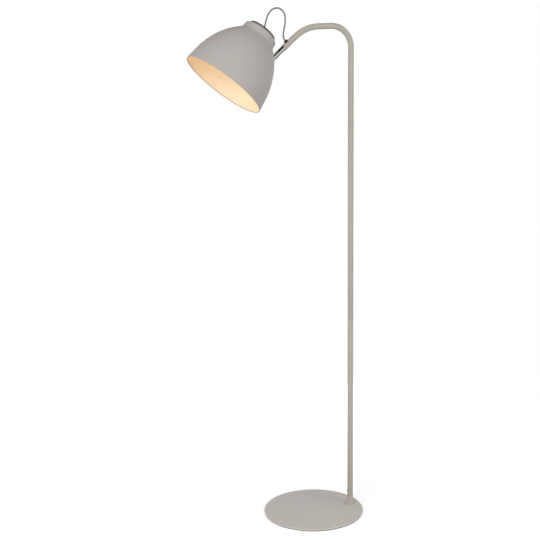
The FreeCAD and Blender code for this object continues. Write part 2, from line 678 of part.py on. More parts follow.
def shade_envelope(inset):
    """Solid filled in behind the shade's outer face, or behind its inner one."""
    edges, points = sheet_outline(RIM_START, SKIRT_SLOPE, SHADE_STEPS, inset)
    foot = Vector(0, 0, points[0].z)
    top = Vector(0, 0, points[-1].z)
    edges.append(Part.makeLine(points[-1], top))
    edges.append(Part.makeLine(top, foot))
    edges.append(Part.makeLine(foot, points[0]))
    return spun(edges)


def lamp_shade():
    outer_edges, outer = sheet_outline(RIM_START, SKIRT_SLOPE, SHADE_STEPS)
    inner_edges, inner = sheet_outline(RIM_START, SKIRT_SLOPE, SHADE_STEPS, SHADE_WALL)
    hole = NIPPLE_RADIUS + HOLE_GAP
    outer_end = Vector(hole, 0, outer[-1].z)
    inner_end = Vector(hole, 0, inner[-1].z)
    bead_centre = outer[0] + sheet_inward(SKIRT_SLOPE) * RIM_BEAD_RADIUS
    rise = math.sqrt(RIM_BEAD_RADIUS ** 2 - (RIM_BEAD_RADIUS - SHADE_WALL) ** 2)
    bead_end = inner[0] + sheet_travel(SKIRT_SLOPE) * rise
    bead_low = bead_centre - sheet_travel(SKIRT_SLOPE) * RIM_BEAD_RADIUS
    bead_side = bead_centre + sheet_inward(SKIRT_SLOPE) * RIM_BEAD_RADIUS
    inner_edges[0] = Part.makeLine(bead_end, inner[1])
    edges = outer_edges + inner_edges
    edges.append(Part.makeLine(outer[-1], outer_end))
    edges.append(Part.makeLine(outer_end, inner_end))
    edges.append(Part.makeLine(inner_end, inner[-1]))
    outward = (outer[0] + bead_low - bead_centre * 2).normalize()
    edges.append(Part.Arc(outer[0], bead_centre + outward * RIM_BEAD_RADIUS, bead_low).toShape())
    edges.append(Part.Arc(bead_low, bead_side, bead_end).toShape())
    stud_hole = placed(cylinder(LUG_STUD_RADIUS + HOLE_GAP, -2 * SADDLE_WASHER, LUG_FLANGE), LUG_FRAME)
    return placed(spun(edges).cut(stud_hole), HEAD_FRAME)


def cap_disc():
    top = SHADE_TOP + CAP_DISC_THICKNESS
    disc = cylinder(CAP_DISC_RADIUS, SHADE_TOP, top)
    edges = circle_edges(disc, CAP_DISC_RADIUS, top) + circle_edges(disc, CAP_DISC_RADIUS, SHADE_TOP)
    disc = disc.makeFillet(CAP_DISC_ROUND, edges)
    return placed(disc.cut(cylinder(BUSH_SHANK_RADIUS + HOLE_GAP, SHADE_TOP, top)), HEAD_FRAME)


def cord_bush():
    """Low round nut that clamps the disc and guides the lead out of the cap."""
    disc_top = SHADE_TOP + CAP_DISC_THICKNESS
    shank = cylinder(BUSH_SHANK_RADIUS, SHADE_TOP, disc_top)
    flange = cylinder(BUSH_FLANGE_RADIUS, disc_top, BUSH_TOP)
    flange = flange.makeFillet(BUSH_ROUND, circle_edges(flange, BUSH_FLANGE_RADIUS, BUSH_TOP))
    thread = cylinder(NIPPLE_RADIUS + FIT_GAP, SHADE_TOP, disc_top + NIPPLE_IN_BUSH)
    bore = cylinder(CORD_RADIUS + FIT_GAP, SHADE_TOP, BUSH_TOP)
    return placed(shank.fuse(flange).removeSplitter().cut(thread).cut(bore), HEAD_FRAME)


NIPPLE_TOP = SHADE_TOP + CAP_DISC_THICKNESS + NIPPLE_IN_BUSH
WASHER_LOW = SHADE_TOP - SHADE_WALL - TOOTH_WASHER
HOLDER_TOP = WASHER_LOW - NIPPLE_NUT
HOLDER_SEAM = HOLDER_TOP - HOLDER_CAP_LENGTH
INSERT_TOP = HOLDER_SEAM - INSERT_DROP
INSERT_FOOT = INSERT_TOP - INSERT_LENGTH
BULB_TIP = INSERT_FOOT - CONTACT_THICKNESS


def threaded_nipple():
    nipple = ring(NIPPLE_RADIUS, NIPPLE_BORE_RADIUS, NIPPLE_TOP - NIPPLE_LENGTH, NIPPLE_TOP)
    return placed(nipple, HEAD_FRAME)


def tooth_washer():
    washer = ring(TOOTH_WASHER_RADIUS, NIPPLE_RADIUS + HOLE_GAP, WASHER_LOW, WASHER_LOW + TOOTH_WASHER)
    return placed(washer, HEAD_FRAME)


def nipple_nut():
    nut = hexagon(NIPPLE_NUT_RADIUS, HOLDER_TOP, WASHER_LOW)
    return placed(nut.cut(cylinder(NIPPLE_RADIUS + FIT_GAP, HOLDER_TOP, WASHER_LOW)), HEAD_FRAME)


# ---------------------------------------------------------------- lampholder and bulb

def holder_cap():
    outer = HOLDER_RADIUS
    inner = HOLDER_RADIUS - HOLDER_WALL
    eaves = HOLDER_SEAM + HOLDER_CAP_STRAIGHT
    neck_foot = HOLDER_TOP - HOLDER_NECK
    bore = NIPPLE_RADIUS + FIT_GAP
    outline = [
        (inner, HOLDER_SEAM),
        (outer, HOLDER_SEAM),
        (outer, eaves),
        (HOLDER_NECK_RADIUS, neck_foot),
        (HOLDER_NECK_RADIUS, HOLDER_TOP),
        (bore, HOLDER_TOP),
        (bore, neck_foot - HOLDER_WALL),
        (HOLDER_NECK_RADIUS, neck_foot - HOLDER_WALL),
        (inner, eaves - HOLDER_WALL / 2),
    ]
    return placed(spun_polygon(outline), HEAD_FRAME)


def holder_body():
    low = HOLDER_SEAM - HOLDER_BODY_LENGTH
    body = cylinder(HOLDER_RADIUS, low, HOLDER_SEAM)
    body = body.makeFillet(HOLDER_LIP / 2, circle_edges(body, HOLDER_RADIUS, low))
    hollow = cylinder(HOLDER_RADIUS - HOLDER_WALL, low + HOLDER_LIP, HOLDER_SEAM)
    mouth = cylinder(SHELL_OUTER_RADIUS + HOLE_GAP, low, HOLDER_SEAM)
    return placed(body.cut(hollow).cut(mouth), HEAD_FRAME)


def socket_insert():
    block = cylinder(HOLDER_RADIUS - HOLDER_WALL - FIT_GAP, INSERT_FOOT, INSERT_TOP)
    return placed(block, HEAD_FRAME)


def socket_shell():
    low = HOLDER_SEAM - HOLDER_BODY_LENGTH + HOLDER_LIP
    shell = ring(SHELL_OUTER_RADIUS, SHELL_OUTER_RADIUS - SHELL_WALL, low, INSERT_FOOT)
    return placed(shell, HEAD_FRAME)


def centre_contact():
    strip = box((-CONTACT_LENGTH / 2, CONTACT_LENGTH / 2), (-CONTACT_WIDTH / 2, CONTACT_WIDTH / 2),
                (BULB_TIP, INSERT_FOOT))
    return placed(strip, HEAD_FRAME)


def holder_lead():
    """Sheathed end of the lead inside the bush and the nipple."""
    return placed(cylinder(CORD_RADIUS, BUSH_TOP - SHEATH_LENGTH, BUSH_TOP), HEAD_FRAME)


def holder_cores():
    """The two insulated cores that drop from the sheath to the insert's terminals."""
    cores = []
    for side in (-1, 1):
        at = (side * CORE_SPACING / 2, 0.0)
        cores.append(placed(cylinder(CORE_RADIUS, INSERT_TOP, BUSH_TOP - SHEATH_LENGTH, at), HEAD_FRAME))
    return Part.makeCompound(cores)


def bulb_contact():
    return placed(cylinder(BULB_CONTACT_RADIUS, BULB_TIP - BULB_CONTACT, BULB_TIP), HEAD_FRAME)


def bulb_cap():
    top = BULB_TIP - BULB_CONTACT
    thread_top = top - BULB_INSULATOR
    thread_foot = thread_top - BULB_THREAD
    outline = [
        (0.0, top),
        (BULB_CONTACT_RADIUS, top),
        (BULB_INSULATOR_RADIUS, thread_top),
        (BULB_THREAD_RADIUS, thread_top),
        (BULB_THREAD_RADIUS, thread_foot),
        (BULB_COLLAR_RADIUS, thread_foot),
        (BULB_COLLAR_RADIUS, thread_foot - BULB_COLLAR),
        (0.0, thread_foot - BULB_COLLAR),
    ]
    return placed(spun_polygon(outline), HEAD_FRAME)


def globe_outline(inset):
    """Outline of the bulb's globe: a ball that flares back into a short neck."""
    neck_top = BULB_TIP - BULB_CONTACT - BULB_INSULATOR - BULB_THREAD - BULB_COLLAR
    flare_top = neck_top - GLOBE_NECK
    globe_centre = Vector(0, 0, flare_top - GLOBE_TO_NECK)
    gap = GLOBE_RADIUS - BULB_COLLAR_RADIUS
    flare_radius = (GLOBE_TO_NECK ** 2 / gap - GLOBE_RADIUS - BULB_COLLAR_RADIUS) / 2
    flare_centre = Vector(BULB_COLLAR_RADIUS + flare_radius, 0, flare_top)
    to_flare = (flare_centre - globe_centre).normalize()
    ball = GLOBE_RADIUS - inset
    flare = flare_radius + inset
    neck = Vector(BULB_COLLAR_RADIUS - inset, 0, flare_top)
    meeting = globe_centre + to_flare * ball
    flare_middle = flare_centre + ((neck - flare_centre).normalize() - to_flare).normalize() * flare
    tip = globe_centre - Vector(0, 0, ball)
    ball_middle = globe_centre + (to_flare - Vector(0, 0, 1)).normalize() * ball
    top = Vector(neck.x, 0, neck_top)
    edges = [
        Part.makeLine(top, neck),
        Part.Arc(neck, flare_middle, meeting).toShape(),
        Part.Arc(meeting, ball_middle, tip).toShape(),
    ]
    return edges, top, tip


def bulb_globe():
    outer, outer_top, outer_tip = globe_outline(0.0)
    inner, inner_top, inner_tip = globe_outline(GLOBE_WALL)
    ends = [Part.makeLine(outer_top, inner_top), Part.makeLine(outer_tip, inner_tip)]
    return placed(spun(outer + inner + ends), HEAD_FRAME)


# ---------------------------------------------------------------- parts

PARTS = {
    "base_plate": base_plate,
    "base_pad": base_pad,
    "pole_screw": pole_screw,
    "pole_screw_washer": pole_screw_washer,
    "pole_foot_plug": pole_foot_plug,
    "pole_collar": pole_collar,
    "lower_pole": lower_pole,
    "lower_coupler_stud": lambda: coupler_stud(LOWER_JOINT),
    "lower_coupler_socket": lambda: coupler_socket(LOWER_JOINT),
    "middle_pole": middle_pole,
    "upper_coupler_stud": lambda: coupler_stud(UPPER_JOINT),
    "upper_coupler_socket": lambda: coupler_socket(UPPER_JOINT),
    "gooseneck_tube": gooseneck_tube,
    "mains_inlet_grommet": mains_inlet_grommet,
    "arm_grommet": arm_grommet,
    "inner_lead": inner_lead,
    "cord_loop": cord_loop,
    "head_stem": head_stem,
    "stem_screw": stem_screw,
    "friction_washers": friction_washers,
    "pivot_spring_washer": pivot_spring_washer,
    "pivot_screw": pivot_screw,
    "shade_lug": shade_lug,
    "lug_saddle_washer": lug_saddle_washer,
    "lug_nut": lug_nut,
    "lamp_shade": lamp_shade,
    "cap_disc": cap_disc,
    "cord_bush": cord_bush,
    "threaded_nipple": threaded_nipple,
    "tooth_washer": tooth_washer,
    "nipple_nut": nipple_nut,
    "holder_cap": holder_cap,
    "holder_body": holder_body,
    "socket_insert": socket_insert,
    "socket_shell": socket_shell,
    "centre_contact": centre_contact,
    "holder_lead": holder_lead,
    "holder_cores": holder_cores,
    "bulb_contact": bulb_contact,
    "bulb_cap": bulb_cap,
    "bulb_globe": bulb_globe,
}

os.makedirs("parts", exist_ok=True)
for name, make in PARTS.items():
    shape = make()
    if not shape.isValid():
        print("not valid:", name)
    shape.exportStep("parts/%s.step" % name)
print("pivot", PIVOT, "rim centre", HEAD_FRAME.Base)
print("loop route", ", ".join("(%.2f, %.2f)" % (point.x, point.z) for point in loop_route()))
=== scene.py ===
import json
import math

import bmesh
import bpy
from mathutils import Matrix, Vector

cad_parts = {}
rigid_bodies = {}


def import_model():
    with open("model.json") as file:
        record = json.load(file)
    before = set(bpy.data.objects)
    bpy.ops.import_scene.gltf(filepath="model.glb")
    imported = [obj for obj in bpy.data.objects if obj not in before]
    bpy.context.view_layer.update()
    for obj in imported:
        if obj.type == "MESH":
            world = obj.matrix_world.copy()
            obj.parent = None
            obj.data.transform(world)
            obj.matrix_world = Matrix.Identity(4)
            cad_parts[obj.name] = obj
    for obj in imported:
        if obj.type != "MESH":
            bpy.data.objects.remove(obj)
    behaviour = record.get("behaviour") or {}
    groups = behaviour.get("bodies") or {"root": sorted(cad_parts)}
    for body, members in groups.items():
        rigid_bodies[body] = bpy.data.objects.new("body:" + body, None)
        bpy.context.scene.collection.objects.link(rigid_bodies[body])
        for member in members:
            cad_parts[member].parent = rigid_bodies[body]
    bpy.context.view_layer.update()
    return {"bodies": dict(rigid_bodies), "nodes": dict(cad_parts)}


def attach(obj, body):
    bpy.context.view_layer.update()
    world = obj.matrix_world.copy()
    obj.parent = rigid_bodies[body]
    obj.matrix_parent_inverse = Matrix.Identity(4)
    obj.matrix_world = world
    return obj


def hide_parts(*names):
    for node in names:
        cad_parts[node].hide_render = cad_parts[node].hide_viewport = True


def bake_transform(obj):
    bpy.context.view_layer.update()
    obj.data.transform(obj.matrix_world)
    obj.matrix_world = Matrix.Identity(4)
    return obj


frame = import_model()
nodes = frame["nodes"]
MM = 0.001
HEAD_TILT = 37.3                # degrees of the shade's axis from upright


# ------------------------------------------------------------------ camera

PHOTO_SIZE = 540                # pixels along each side of the photograph
FOCAL_PIXELS = 860.2672
SHIFT_PIXELS = -40.9623
SENSOR = 36.0
CAMERA_AZIMUTH = -20.4598       # angles in degrees, lengths in metres
CAMERA_DISTANCE = 2.51
CAMERA_HEIGHT = 1.0837
CAMERA_HEADING = 0.112          # off the line to the origin
CAMERA_PITCH = 7.7562
CAMERA_ROLL = -0.252


def make_camera():
    """Camera that sees the lamp as the photograph does."""
    azimuth = math.radians(CAMERA_AZIMUTH)
    place = Vector((math.sin(azimuth) * CAMERA_DISTANCE, -math.cos(azimuth) * CAMERA_DISTANCE,
                    CAMERA_HEIGHT))
    heading = math.atan2(-place.y, -place.x) + math.radians(CAMERA_HEADING)
    pitch, roll = math.radians(CAMERA_PITCH), math.radians(CAMERA_ROLL)
    forward = Vector((math.cos(heading) * math.cos(pitch), math.sin(heading) * math.cos(pitch),
                      -math.sin(pitch)))
    level = forward.cross(Vector((0, 0, 1))).normalized()
    upright = level.cross(forward)
    right = level * math.cos(roll) + upright * math.sin(roll)
    up = upright * math.cos(roll) - level * math.sin(roll)
    data = bpy.data.cameras.new("photo_camera")
    data.sensor_width = SENSOR
    data.lens = FOCAL_PIXELS / PHOTO_SIZE * SENSOR
    data.shift_x = SHIFT_PIXELS / PHOTO_SIZE
    data.clip_start, data.clip_end = 0.05, 60
    camera = bpy.data.objects.new("photo_camera", data)
    turn = Matrix((right, up, -forward)).transposed().to_4x4()
    camera.matrix_world = Matrix.Translation(place) @ turn
    bpy.context.scene.collection.objects.link(camera)
    bpy.context.scene.camera = camera


make_camera()
bpy.context.scene.view_settings.view_transform = "Standard"


# ------------------------------------------------------------------ materials

def add_node(tree, kind, inputs=None, **settings):
    node = tree.nodes.new(kind)
    for key, value in settings.items():
        setattr(node, key, value)
    for key, value in (inputs or {}).items():
        if isinstance(value, bpy.types.NodeSocket):
            tree.links.new(value, node.inputs[key])
        else:
            node.inputs[key].default_value = value
    return node


class Nodes:
    """Small helper round one material's node tree."""

    def __init__(self, name):
        self.material = bpy.data.materials.new(name)
        self.material.use_nodes = True
        self.tree = self.material.node_tree
        self.shader = self.tree.nodes["Principled BSDF"]
        self.place = self.add("ShaderNodeTexCoord").outputs["Object"]

    def add(self, kind, inputs=None, **settings):
        return add_node(self.tree, kind, inputs, **settings)

    def scaled(self, factors, turn=(0.0, 0.0, 0.0)):
        """The place, stretched along each axis and turned."""
        return self.add("ShaderNodeMapping", {
            "Vector": self.place, "Scale": factors, "Rotation": turn}).outputs["Vector"]

    def noise(self, scale, detail=2.0, roughness=0.5, vector=None, distortion=0.0):
        node = self.add("ShaderNodeTexNoise", {
            "Vector": vector or self.place, "Scale": scale, "Detail": detail,
            "Roughness": roughness, "Distortion": distortion})
        return node.outputs["Fac"]

    def ramp(self, factor, stops):
        node = self.add("ShaderNodeValToRGB", {"Fac": factor})
        while len(node.color_ramp.elements) < len(stops):
            node.color_ramp.elements.new(0.5)
        for element, (position, colour) in zip(node.color_ramp.elements, stops):
            element.position = position
            element.color = (*colour, 1.0)
        return node.outputs["Color"]

    def mixed(self, factor, first, second):
        """Colour between two colours; 0, 6 and 7 are the sockets of a colour mix."""
        node = self.add("ShaderNodeMix", {0: factor, 6: first, 7: second}, data_type="RGBA")
        return node.outputs[2]

    def spread(self, factor, low, high):
        """Turns the middle of a noise, from 0.3 to 0.7, into the given range."""
        return self.add("ShaderNodeMapRange", {
            "Value": factor, "From Min": 0.3, "From Max": 0.7,
            "To Min": low, "To Max": high}).outputs["Result"]

    def bump(self, height, distance, strength, under=None):
        inputs = {"Height": height, "Distance": distance, "Strength": strength}
        if under is not None:
            inputs["Normal"] = under
        return self.add("ShaderNodeBump", inputs).outputs["Normal"]

    def set(self, **values):
        for key, value in values.items():
            socket = self.shader.inputs[key.replace("_", " ")]
            if isinstance(value, bpy.types.NodeSocket):
                self.tree.links.new(value, socket)
            else:
                socket.default_value = value


def tint(colour, factor):
    return tuple(channel * factor for channel in colour)


def powder_coat(name, colour, rough=0.52):
    """Matt powder coat: fine orange peel, slow drift of tone, and duller patches."""
    m = Nodes(name)
    drift = m.noise(7.0, 3.0)
    speck = m.noise(1400.0, 2.0)
    tone = m.ramp(drift, [(0.3, tint(colour, 0.975)), (0.7, tint(colour, 1.02))])
    grain = m.ramp(speck, [(0.35, tint(colour, 0.965)), (0.65, tint(colour, 1.03))])
    peel = m.noise(620.0, 3.0, 0.55)
    fine = m.noise(2400.0, 2.0, 0.6)
    lower = m.bump(peel, 0.00006, 0.55)
    m.set(Base_Color=m.mixed(0.35, tone, grain),
          Roughness=m.spread(m.noise(38.0, 3.0), rough - 0.05, rough + 0.06),
          Normal=m.bump(fine, 0.00002, 0.5, lower),
          Specular_IOR_Level=0.42)
    return m.material


def chrome_plate(name):
    """Bright plating with faint cloudy wipe marks and hairlines."""
    m = Nodes(name)
    wipe = m.noise(60.0, 4.0, 0.6)
    hair = m.noise(240.0, 2.0, 0.5, m.scaled((0.25, 9.0, 0.25)))
    m.set(Base_Color=m.ramp(wipe, [(0.3, (0.53, 0.51, 0.495)), (0.7, (0.59, 0.57, 0.555))]),
          Metallic=1.0,
          Roughness=m.spread(m.noise(420.0, 3.0), 0.05, 0.10),
          Normal=m.bump(hair, 0.000006, 0.35))
    return m.material


def plated_steel(name, colour=(0.56, 0.56, 0.55), rough=0.34):
    """Zinc-plated or turned metal with fine tool marks."""
    m = Nodes(name)
    marks = m.noise(900.0, 3.0, 0.5, m.scaled((0.15, 0.15, 2.6)))
    cloud = m.noise(90.0, 3.0)
    m.set(Base_Color=m.ramp(cloud, [(0.3, tint(colour, 0.88)), (0.7, tint(colour, 1.08))]),
          Metallic=1.0,
          Roughness=m.spread(marks, rough - 0.08, rough + 0.1),
          Normal=m.bump(marks, 0.00002, 0.45))
    return m.material


def moulded(name, colour, rough=0.42, peel=0.00004, specular=0.5):
    """Moulded plastic or rubber with a fine grained skin."""
    m = Nodes(name)
    grain = m.noise(1800.0, 2.0)
    cloud = m.noise(120.0, 3.0)
    m.set(Base_Color=m.ramp(cloud, [(0.3, tint(colour, 0.85)), (0.7, tint(colour, 1.15))]),
          Roughness=m.spread(m.noise(260.0, 3.0), rough - 0.06, rough + 0.08),
          Normal=m.bump(grain, peel, 0.6),
          Specular_IOR_Level=specular)
    return m.material


def dark_wood(name):
    """Stained timber: long grain across the disc, with pores and a satin oil finish."""
    m = Nodes(name)
    turn = (0.0, math.radians(-HEAD_TILT), 0.0)
    rings = m.noise(5.0, 6.0, 0.62, m.scaled((3.0, 60.0, 60.0), turn), 1.4)
    pores = m.noise(30.0, 3.0, 0.7, m.scaled((9.0, 90.0, 90.0), turn))
    wood = m.ramp(rings, [(0.28, (0.018, 0.012, 0.009)), (0.46, (0.045, 0.030, 0.020)),
                          (0.58, (0.078, 0.052, 0.034)), (0.76, (0.030, 0.020, 0.014))])
    dots = m.ramp(pores, [(0.36, (0.012, 0.008, 0.006)), (0.46, (0.07, 0.048, 0.032))])
    m.set(Base_Color=m.mixed(0.3, wood, dots),
          Roughness=m.spread(rings, 0.52, 0.68),
          Normal=m.bump(pores, 0.00012, 0.6),
          Specular_IOR_Level=0.25)
    return m.material


def cord_sheath(name):
    """Smooth flexible sheath with slight ripples and dusting."""
    m = Nodes(name)
    ripple = m.noise(160.0, 3.0)
    dust = m.noise(1500.0, 2.0)
    grey = (0.205, 0.195, 0.172)
    m.set(Base_Color=m.mixed(0.3, m.ramp(ripple, [(0.3, tint(grey, 0.92)), (0.7, tint(grey, 1.08))]),
                             m.ramp(dust, [(0.4, tint(grey, 0.9)), (0.6, tint(grey, 1.1))])),
          Roughness=m.spread(m.noise(300.0, 3.0), 0.38, 0.5),
          Normal=m.bump(ripple, 0.00008, 0.4))
    return m.material


def inner_enamel(name):
    """White enamel inside the shade with fine peel; its warm cast is partly the enamel's own tint and
    partly painted warm bulb light.
    """
    m = Nodes(name)
    # blue lowered to paint in the bulb's warm light on the white enamel
    warmed_white = (0.80, 0.735, 0.60)
    m.set(Base_Color=m.ramp(m.noise(9.0, 3.0), [(0.3, tint(warmed_white, 0.98)), (0.7, tint(warmed_white, 1.02))]),
          Roughness=m.spread(m.noise(60.0, 3.0), 0.40, 0.5),
          Normal=m.bump(m.noise(700.0, 3.0), 0.00005, 0.5))
    return m.material


def opal_bulb(name):
    """Lit opal glass with a slight cloud in its glow."""
    m = Nodes(name)
    cloud = m.noise(22.0, 3.0)
    m.set(Base_Color=m.ramp(cloud, [(0.3, (0.86, 0.82, 0.76)), (0.7, (0.92, 0.90, 0.86))]),
          Roughness=m.spread(m.noise(150.0, 2.0), 0.16, 0.24),
          Emission_Color=m.ramp(cloud, [(0.3, (1.0, 0.70, 0.38)), (0.7, (1.0, 0.75, 0.43))]),
          Emission_Strength=1.25)
    return m.material


# The base, the tubes and the lampshade wear one real paint. These three copies paint in light and
# shade: the base's is made lighter and the tubes' darker than the lampshade's, as light falls on
# each.
BASE_PAINT_LIGHTENED = powder_coat("powder_coat_base_lightened", (0.587, 0.546, 0.513))
TUBE_PAINT_DARKENED = powder_coat("powder_coat_tube_darkened", (0.422, 0.383, 0.334), 0.50)
SHADE_PAINT = powder_coat("powder_coat_shade", (0.420, 0.389, 0.368), 0.55)
ENAMEL_WITH_PAINTED_WARMTH = inner_enamel("white_enamel_painted_warm")
CHROME = chrome_plate("chrome_plate")
STEEL = plated_steel("zinc_plated_steel")
BLACK_METAL = plated_steel("blackened_metal", (0.045, 0.042, 0.04), 0.4)
BRASS = plated_steel("turned_brass", (0.66, 0.48, 0.22), 0.3)
ALUMINIUM = plated_steel("pressed_aluminium", (0.72, 0.72, 0.72), 0.36)
RUBBER = moulded("black_rubber", (0.016, 0.015, 0.015), 0.66, 0.00006, 0.2)
PLASTIC = moulded("black_bakelite", (0.028, 0.027, 0.027), 0.34)
CERAMIC = moulded("white_insulator", (0.74, 0.72, 0.68), 0.25)
CORES = moulded("core_insulation", (0.16, 0.075, 0.03), 0.4)
CORD = cord_sheath("grey_cord_sheath")
WOOD = dark_wood("dark_stained_wood")
OPAL = opal_bulb("lit_opal_glass")


# ------------------------------------------------------------------ mesh helpers

HEAD = (Matrix.Translation((-0.260891, 0.0, 1.269508))
        @ Matrix.Rotation(math.radians(HEAD_TILT), 4, "Y"))
SHARP_ANGLE = math.radians(40)
ROUNDING_STEPS = 6
ON_AXIS = 1e-6


def new_piece(name, mesh, body, materials, slot, *replaced):
    for material in materials:
        mesh.materials.append(material)
    for polygon in mesh.polygons:
        polygon.use_smooth = True
    mesh.set_sharp_from_angle(angle=SHARP_ANGLE)
    piece = bpy.data.objects.new(name, mesh)
    bpy.context.scene.collection.objects.link(piece)
    if body:
        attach(piece, body)
    if replaced:
        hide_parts(*replaced)
    return piece


def finished(bm, name):
    bmesh.ops.recalc_face_normals(bm, faces=bm.faces)
    mesh = bpy.data.meshes.new(name)
    bm.to_mesh(mesh)
    bm.free()
    return mesh


def lathe(name, outline, turn, segments, closed=False, finish=None):
    """Mesh turned about Z from (radius, height) points in millimetres, then placed by turn.

    The first and last point may lie on the axis. finish(index) gives the material slot of the
    band between outline points index and index + 1.
    """
    bm = bmesh.new()
    rings = []
    for radius, height in outline:
        if radius < ON_AXIS:
            rings.append([bm.verts.new((0, 0, height * MM))])
            continue
        ring = []
        for k in range(segments):
            angle = 2 * math.pi * k / segments
            ring.append(bm.verts.new((radius * MM * math.cos(angle),
                                      radius * MM * math.sin(angle), height * MM)))
        rings.append(ring)
    pairs = list(zip(rings, rings[1:]))
    if closed:
        pairs.append((rings[-1], rings[0]))
    for index, (low, high) in enumerate(pairs):
        for k in range(segments):
            nxt = (k + 1) % segments
            corners = [low[k % len(low)], low[nxt % len(low)],
                       high[nxt % len(high)], high[k % len(high)]]
            unique = list(dict.fromkeys(corners))
            if len(unique) > 2:
                face = bm.faces.new(unique)
                face.material_index = finish(index) if finish else 0
    mesh = finished(bm, name)
    mesh.transform(turn)
    return mesh


def rounded(corners, radii):
    """Outline with its corners rounded; a radius of 0 keeps a corner sharp."""
    points = []
    for i, (corner, radius) in enumerate(zip(corners, radii)):
        if radius <= 0:
            points.append(corner)
            continue
        here = Vector(corner)
        back = (Vector(corners[i - 1]) - here).normalized()
        ahead = (Vector(corners[i + 1]) - here).normalized()
        half = back.angle(ahead) / 2
        reach = radius / math.tan(half)
        centre = here + (back + ahead).normalized() * (radius / math.sin(half))
        start, end = here + back * reach - centre, here + ahead * reach - centre
        sweep = start.angle_signed(end)
        for k in range(ROUNDING_STEPS + 1):
            turned = Matrix.Rotation(-sweep * k / ROUNDING_STEPS, 2) @ start
            points.append(tuple(centre + turned))
    return points


def headings(line):
    """Unit direction at each point of a line, from the point before it to the one after it."""
    last = len(line) - 1
    return [(line[min(i + 1, last)] - line[max(i - 1, 0)]).normalized() for i in range(last + 1)]


def tube(name, line, directions, radii, sides, capped):
    """Tube round a line in the X-Z plane, in metres; each ring stands across its direction."""
    bm = bmesh.new()
    side = Vector((0, 1, 0))
    rings = []
    for point, along, radius in zip(line, directions, radii):
        out = side.cross(along).normalized()
        ring = []
        for k in range(sides):
            angle = 2 * math.pi * k / sides
            across = out * math.cos(angle) + side * math.sin(angle)
            ring.append(bm.verts.new(point + across * radius))
        rings.append(ring)
    for low, high in zip(rings, rings[1:]):
        for k in range(sides):
            bm.faces.new((low[k], low[(k + 1) % sides], high[(k + 1) % sides], high[k]))
    if capped:
        bm.faces.new(rings[0])
        bm.faces.new(list(reversed(rings[-1])))
    return finished(bm, name)


# ------------------------------------------------------------------ free loop of the lead

CORD_DIAMETER = 4.5 * MM
CORD_SIDES = 28
LOOP_ROUTE = (                  # x and z in millimetres, from the disc's bush to the arm's grommet
    (-143.84, 1423.16), (-140.51, 1427.54), (-138.60, 1433.51), (-137.20, 1441.01),
    (-134.60, 1451.01), (-128.50, 1467.51), (-117.00, 1480.51), (-101.50, 1485.51),
    (-87.00, 1479.51), (-79.00, 1466.51), (-79.20, 1441.01), (-83.40, 1425.01),
    (-85.20, 1413.01), (-85.00, 1406.51), (-83.53, 1400.78), (-79.44, 1396.39))


def spline_points(route):
    """Points of the smooth line that the route's points control."""
    curve = bpy.data.curves.new("loop_line", "CURVE")
    curve.dimensions = "3D"
    spline = curve.splines.new("NURBS")
    spline.points.add(len(route) - 1)
    for point, (x, z) in zip(spline.points, route):
        point.co = (x * MM, 0.0, z * MM, 1.0)
    spline.order_u = 3
    spline.use_endpoint_u = True
    spline.resolution_u = 16
    line = bpy.data.objects.new("loop_line", curve)
    bpy.context.scene.collection.objects.link(line)
    mesh = bpy.data.meshes.new_from_object(line)
    points = [vertex.co.copy() for vertex in mesh.vertices]
    bpy.data.objects.remove(line)
    bpy.data.meshes.remove(mesh)
    return points


def make_loop():
    path = spline_points(LOOP_ROUTE)
    radii = [CORD_DIAMETER / 2] * len(path)
    mesh = tube("cord_loop_sheath", path, headings(path), radii, CORD_SIDES, capped=True)
    loop = new_piece("cord_loop_sheath", mesh, None, [CORD], "grey_cord", "cord_loop")
    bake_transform(loop)
    length = sum((b - a).length for a, b in zip(path, path[1:]))
    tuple(path[0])


make_loop()


# ------------------------------------------------------------------ stand

POLE_X = 0.121
PAD_TOP, BASE_TOP = 1.5, 6.0
BASE_RADIUS, BASE_CHAMFER = 150.0, 1.0
LOWER_JOINT, UPPER_JOINT = 586.0, 1166.0
TUBE_BORE, TUBE_RADIUS = 7.5, 8.5
TUBE_EDGE = ((8.2, 0.0), (8.35, 0.05), (8.5, 0.3))      # radius, distance from the tube's end
TUBE_SIDES = 72
# each straight length, the radius of the bend after it, and the heading after that bend in
# degrees from upright
ARM_RUNS = ((0.2204, 0.0567, 94.0), (0.0372, 0.1174, 133.0), (0.0478, None, None))
STRAIGHT_STEPS, BEND_STEPS = 6, 40
FLARE_STEPS = 14


def at_pole(height=0.0):
    return Matrix.Translation((POLE_X, 0, height * MM))


def make_base():
    corners = [(0.0, PAD_TOP), (BASE_RADIUS - BASE_CHAMFER, PAD_TOP),
               (BASE_RADIUS, PAD_TOP + BASE_CHAMFER), (BASE_RADIUS, BASE_TOP), (0.0, BASE_TOP)]
    outline = rounded(corners, [0, 0.25, 0.25, 0.8, 0])
    mesh = lathe("base_plate_body", outline, Matrix.Identity(4), 256)
    new_piece("base_plate_body", mesh, "stand", [BASE_PAINT_LIGHTENED], "grey_beige_paint", "base_plate")


